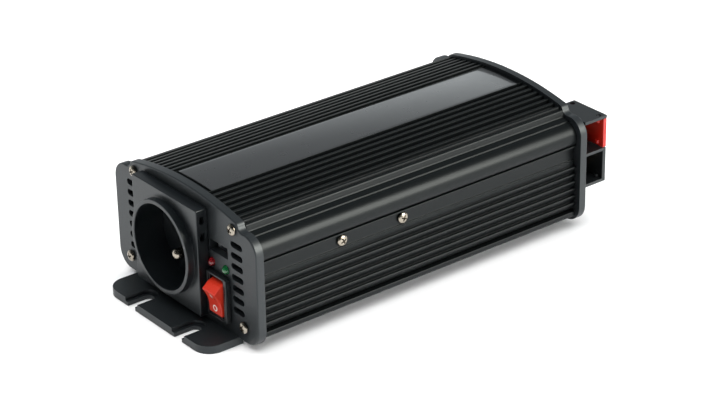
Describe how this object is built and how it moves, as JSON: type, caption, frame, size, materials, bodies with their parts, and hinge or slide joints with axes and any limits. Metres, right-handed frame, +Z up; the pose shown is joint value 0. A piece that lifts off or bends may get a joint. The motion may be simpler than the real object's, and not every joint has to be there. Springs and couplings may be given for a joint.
{
  "type": "power inverter",
  "caption": "Small finned box inverter with slotted mounting feet, a round mains outlet, a USB port, indicator lenses and a rocker on the front, and screw terminals and a fan at the rear.",
  "frame": {"origin": "on the surface the feet stand on, under the middle of the casing", "axes": "+X to the right of someone facing the outlet, +Y from the outlet towards the battery terminals, +Z up"},
  "size_m": [0.1052, 0.22, 0.0623],
  "materials": {
    "anodised": "black anodised, satin",
    "label": "glossy graphite grey plate",
    "plate": "satin dark grey moulding",
    "outlet_black": "satin black moulding",
    "nickel": "nickel plated",
    "brass": "machined",
    "tin": "tinned, satin",
    "black_moulding": "fine matte",
    "white_moulding": "satin",
    "led_red": "clear tinted lens",
    "led_green": "clear tinted lens",
    "switch_red": "translucent, polished",
    "terminal_red": "semi-gloss moulding",
    "terminal_black": "satin moulding",
    "circuit_board": "solder mask",
    "ferrite": "sintered ceramic",
    "copper": "enamelled copper wire",
    "sleeve": "shrink sleeve",
    "fuse": "clear tinted"
  },
  "bodies": {
    "casing": {"upper_shell": "anodised", "lower_shell": "anodised", "nameplate": "label", "front_plate": "plate", "rear_plate": "plate", "outlet_body": "outlet_black", "outlet_back_cover": "outlet_black", "outlet_earth_pin": "nickel", "outlet_contact_line": "brass", "outlet_contact_neutral": "brass", "usb_shell": "tin", "usb_tongue": "white_moulding", "led_red": "led_red", "led_green": "led_green", "front_board": "circuit_board", "switch_housing": "black_moulding", "switch_blade_1": "tin", "switch_blade_2": "tin", "fan_frame": "black_moulding", "terminal_cover": "terminal_black", "terminal_box_positive": "terminal_red", "terminal_box_negative": "terminal_black", "terminal_bar_positive": "brass", "terminal_bar_negative": "brass", "main_board": "circuit_board", "transformer_core": "ferrite", "transformer_winding": "copper", "clamp_bar_right": "tin", "clamp_bar_left": "tin", "transistor_right_1": "black_moulding", "transistor_right_2": "black_moulding", "transistor_left_1": "black_moulding", "transistor_left_2": "black_moulding", "input_capacitor_1": "sleeve", "input_capacitor_2": "sleeve", "output_capacitor": "sleeve", "output_choke": "copper", "driver_board": "circuit_board", "fuse": "fuse", "front_screw_1": "nickel", "front_screw_2": "nickel", "front_screw_3": "nickel", "front_screw_4": "nickel", "rear_screw_1": "nickel", "rear_screw_2": "nickel", "rear_screw_3": "nickel", "rear_screw_4": "nickel", "fan_screw_1": "nickel", "fan_screw_2": "nickel", "fan_screw_3": "nickel", "fan_screw_4": "nickel", "side_screw_1": "nickel", "side_screw_2": "nickel", "side_screw_3": "nickel", "side_screw_4": "nickel"},
    "rocker": {"switch_rocker": "switch_red"},
    "fan": {"fan_rotor": "black_moulding"},
    "shutter": {"outlet_shutter": "outlet_black"},
    "positive_screw": {"terminal_screw_positive": "nickel"},
    "negative_screw": {"terminal_screw_negative": "nickel"}
  },
  "joints": [
    {"name": "power_rocker", "type": "hinge", "parent": "casing", "child": "rocker", "pos_m": [0.0263, -0.0905, 0.0189], "axis": [1, 0, 0], "range_deg": [-32, 0]},
    {"name": "fan_spin", "type": "hinge", "parent": "casing", "child": "fan", "pos_m": [-0.013, 0.08, 0.0315], "axis": [0, 1, 0], "continuous": true},
    {"name": "shutter_slide", "type": "slide", "parent": "casing", "child": "shutter", "axis": [-1, 0, 0], "range_m": [0, 0.0067], "stiffness_N_per_m": 60, "springref_m": -0.002},
    {"name": "positive_clamp_turn", "type": "hinge", "parent": "casing", "child": "positive_screw", "pos_m": [0.0389, 0.09845, 0.0435], "axis": [1, 0, 0], "continuous": true},
    {"name": "negative_clamp_turn", "type": "hinge", "parent": "casing", "child": "negative_screw", "pos_m": [0.0389, 0.09845, 0.02775], "axis": [1, 0, 0], "continuous": true}
  ]
}
